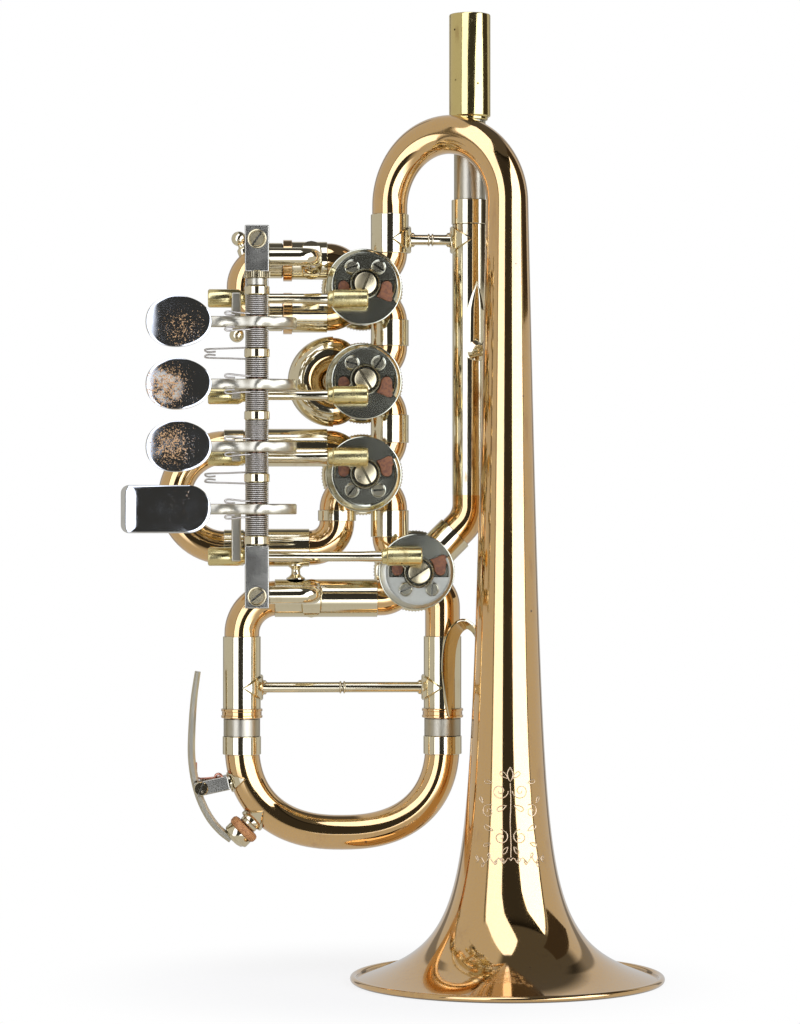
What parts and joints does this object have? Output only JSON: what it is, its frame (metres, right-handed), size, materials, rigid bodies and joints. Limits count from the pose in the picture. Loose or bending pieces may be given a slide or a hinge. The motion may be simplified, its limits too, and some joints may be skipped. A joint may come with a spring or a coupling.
{
  "type": "trumpet",
  "caption": "Small rotary-valve trumpet: bell and bow, hand levers linked to rotary valves, pull slides, sliding leadpipe with mouthpiece receiver, braces and water key.",
  "frame": {"origin": "bottom centre of the bounding box, on the plane of the bell rim", "axes": "+Z along the bell axis from the rim to the mouthpiece end, +X away from the touch pieces, -Y towards the cranks and levers"},
  "size_m": [0.173, 0.1008, 0.3125],
  "materials": {
    "gold_brass": "polished gold brass, thin lacquer, fine scratches and small brown spots",
    "nickel_silver": "polished nickel silver, slightly warm",
    "yellow_brass": "bare yellow brass, fine scratches and tarnish",
    "satin_nickel_silver": "satin nickel silver",
    "spring_steel": "drawn wire, close wound",
    "touch_plate": "worn plated touch piece with pitting",
    "bumper": "red-brown rubber",
    "cork": "cork disc"
  },
  "bodies": {
    "horn": {"bell": "gold_brass", "bow_ferrule": "nickel_silver", "bow_crook": "gold_brass", "crook_1_2": "gold_brass", "crook_2_3": "gold_brass", "crook_3_4": "gold_brass", "leadpipe_outer": "nickel_silver", "leadpipe_bend": "gold_brass", "valve_casing_1": "nickel_silver", "valve_casing_2": "nickel_silver", "valve_casing_3": "nickel_silver", "valve_casing_4": "nickel_silver", "stop_plate_1": "nickel_silver", "stop_plate_2": "nickel_silver", "stop_plate_3": "nickel_silver", "stop_plate_4": "nickel_silver", "back_cap_1": "nickel_silver", "back_cap_2": "nickel_silver", "back_cap_3": "nickel_silver", "back_cap_4": "nickel_silver", "slide_1_upper_leg": "nickel_silver", "slide_1_lower_leg": "nickel_silver", "slide_2_loop": "nickel_silver", "slide_3_upper_leg": "nickel_silver", "slide_3_lower_leg": "nickel_silver", "slide_4_left_leg": "nickel_silver", "slide_4_right_leg": "nickel_silver", "slide_4_brace": "nickel_silver", "upper_brace": "nickel_silver", "bell_bracket_upper": "nickel_silver", "bell_bracket_lower": "nickel_silver", "lever_frame": "nickel_silver", "lever_axle": "nickel_silver", "lever_spring_1": "spring_steel", "lever_spring_2": "spring_steel", "lever_spring_3": "spring_steel", "lever_spring_4": "spring_steel"},
    "leadpipe": {"mouthpiece_receiver": "yellow_brass", "leadpipe_inner": "satin_nickel_silver"},
    "slide_1": {"slide_1_bow": "gold_brass"},
    "slide_3": {"slide_3_bow": "gold_brass"},
    "slide_4": {"slide_4_bow": "gold_brass", "water_key_saddle": "nickel_silver"},
    "water_key": {"water_key": "nickel_silver"},
    "rotor_1": {"rotor_1": "yellow_brass", "crank_1": "nickel_silver"},
    "lever_1": {"lever_1": "nickel_silver"},
    "rod_1": {"link_rod_1": "yellow_brass"},
    "rotor_2": {"rotor_2": "yellow_brass", "crank_2": "nickel_silver"},
    "lever_2": {"lever_2": "nickel_silver"},
    "rod_2": {"link_rod_2": "yellow_brass"},
    "rotor_3": {"rotor_3": "yellow_brass", "crank_3": "nickel_silver"},
    "lever_3": {"lever_3": "nickel_silver"},
    "rod_3": {"link_rod_3": "yellow_brass"},
    "rotor_4": {"rotor_4": "yellow_brass", "crank_4": "nickel_silver"},
    "lever_4": {"lever_4": "nickel_silver"},
    "rod_4": {"link_rod_4": "yellow_brass"}
  },
  "joints": [
    {"name": "lever_1_press", "type": "hinge", "parent": "horn", "child": "lever_1", "pos_m": [-0.0441, -0.0245, 0.2098], "axis": [0, 0, -1], "range_deg": [0, 29.84]},
    {"name": "lever_2_press", "type": "hinge", "parent": "horn", "child": "lever_2", "pos_m": [-0.0441, -0.0245, 0.1903], "axis": [0, 0, -1], "range_deg": [0, 29.84]},
    {"name": "lever_3_press", "type": "hinge", "parent": "horn", "child": "lever_3", "pos_m": [-0.0441, -0.0245, 0.1708], "axis": [0, 0, -1], "range_deg": [0, 29.84]},
    {"name": "lever_4_press", "type": "hinge", "parent": "horn", "child": "lever_4", "pos_m": [-0.0441, -0.0245, 0.1513], "axis": [0, 0, -1], "range_deg": [0, 29.84]},
    {"name": "rotor_1_turn", "type": "hinge", "parent": "horn", "child": "rotor_1", "pos_m": [-0.0094, 0.019, 0.2235], "axis": [0, -1, 0], "range_deg": [0, 90]},
    {"name": "rod_1_swing", "type": "hinge", "parent": "rotor_1", "child": "rod_1", "pos_m": [-0.01463, -0.0052, 0.21827], "axis": [0, 1, 0], "range_deg": [0, 90]},
    {"name": "rotor_2_turn", "type": "hinge", "parent": "horn", "child": "rotor_2", "pos_m": [-0.0094, 0.019, 0.1928], "axis": [0, -1, 0], "range_deg": [0, 90]},
    {"name": "rod_2_swing", "type": "hinge", "parent": "rotor_2", "child": "rod_2", "pos_m": [-0.01463, -0.0052, 0.18757], "axis": [0, 1, 0], "range_deg": [0, 90]},
    {"name": "rotor_3_turn", "type": "hinge", "parent": "horn", "child": "rotor_3", "pos_m": [-0.0094, 0.019, 0.1627], "axis": [0, 1, 0], "range_deg": [0, 90]},
    {"name": "rod_3_swing", "type": "hinge", "parent": "rotor_3", "child": "rod_3", "pos_m": [-0.01463, -0.0052, 0.16793], "axis": [0, -1, 0], "range_deg": [0, 90]},
    {"name": "rotor_4_turn", "type": "hinge", "parent": "horn", "child": "rotor_4", "pos_m": [0.0078, 0.019, 0.131], "axis": [0, 1, 0], "range_deg": [0, 90]},
    {"name": "rod_4_swing", "type": "hinge", "parent": "rotor_4", "child": "rod_4", "pos_m": [0.00257, -0.0052, 0.13623], "axis": [0, -1, 0], "range_deg": [0, 90]},
    {"name": "leadpipe_pull", "type": "slide", "parent": "horn", "child": "leadpipe", "axis": [0, 0, 1], "range_m": [0, 0.025]},
    {"name": "slide_1_pull", "type": "slide", "parent": "horn", "child": "slide_1", "axis": [-1, 0, 0], "range_m": [0, 0.01]},
    {"name": "slide_3_pull", "type": "slide", "parent": "horn", "child": "slide_3", "axis": [-1, 0, 0], "range_m": [0, 0.015]},
    {"name": "slide_4_pull", "type": "slide", "parent": "horn", "child": "slide_4", "axis": [0, 0, -1], "range_m": [0, 0.012]},
    {"name": "water_key_open", "type": "hinge", "parent": "slide_4", "child": "water_key", "pos_m": [-0.0621, 0.019, 0.0608], "axis": [0, 1, 0], "range_deg": [0, 10]}
  ],
  "couplings": [
    {"joint": "rotor_1_turn", "follows": "lever_1_press", "ratio": 3.016},
    {"joint": "rod_1_swing", "follows": "lever_1_press", "ratio": 3.016},
    {"joint": "rotor_2_turn", "follows": "lever_2_press", "ratio": 3.016},
    {"joint": "rod_2_swing", "follows": "lever_2_press", "ratio": 3.016},
    {"joint": "rotor_3_turn", "follows": "lever_3_press", "ratio": 3.016},
    {"joint": "rod_3_swing", "follows": "lever_3_press", "ratio": 3.016},
    {"joint": "rotor_4_turn", "follows": "lever_4_press", "ratio": 3.016},
    {"joint": "rod_4_swing", "follows": "lever_4_press", "ratio": 3.016}
  ]
}
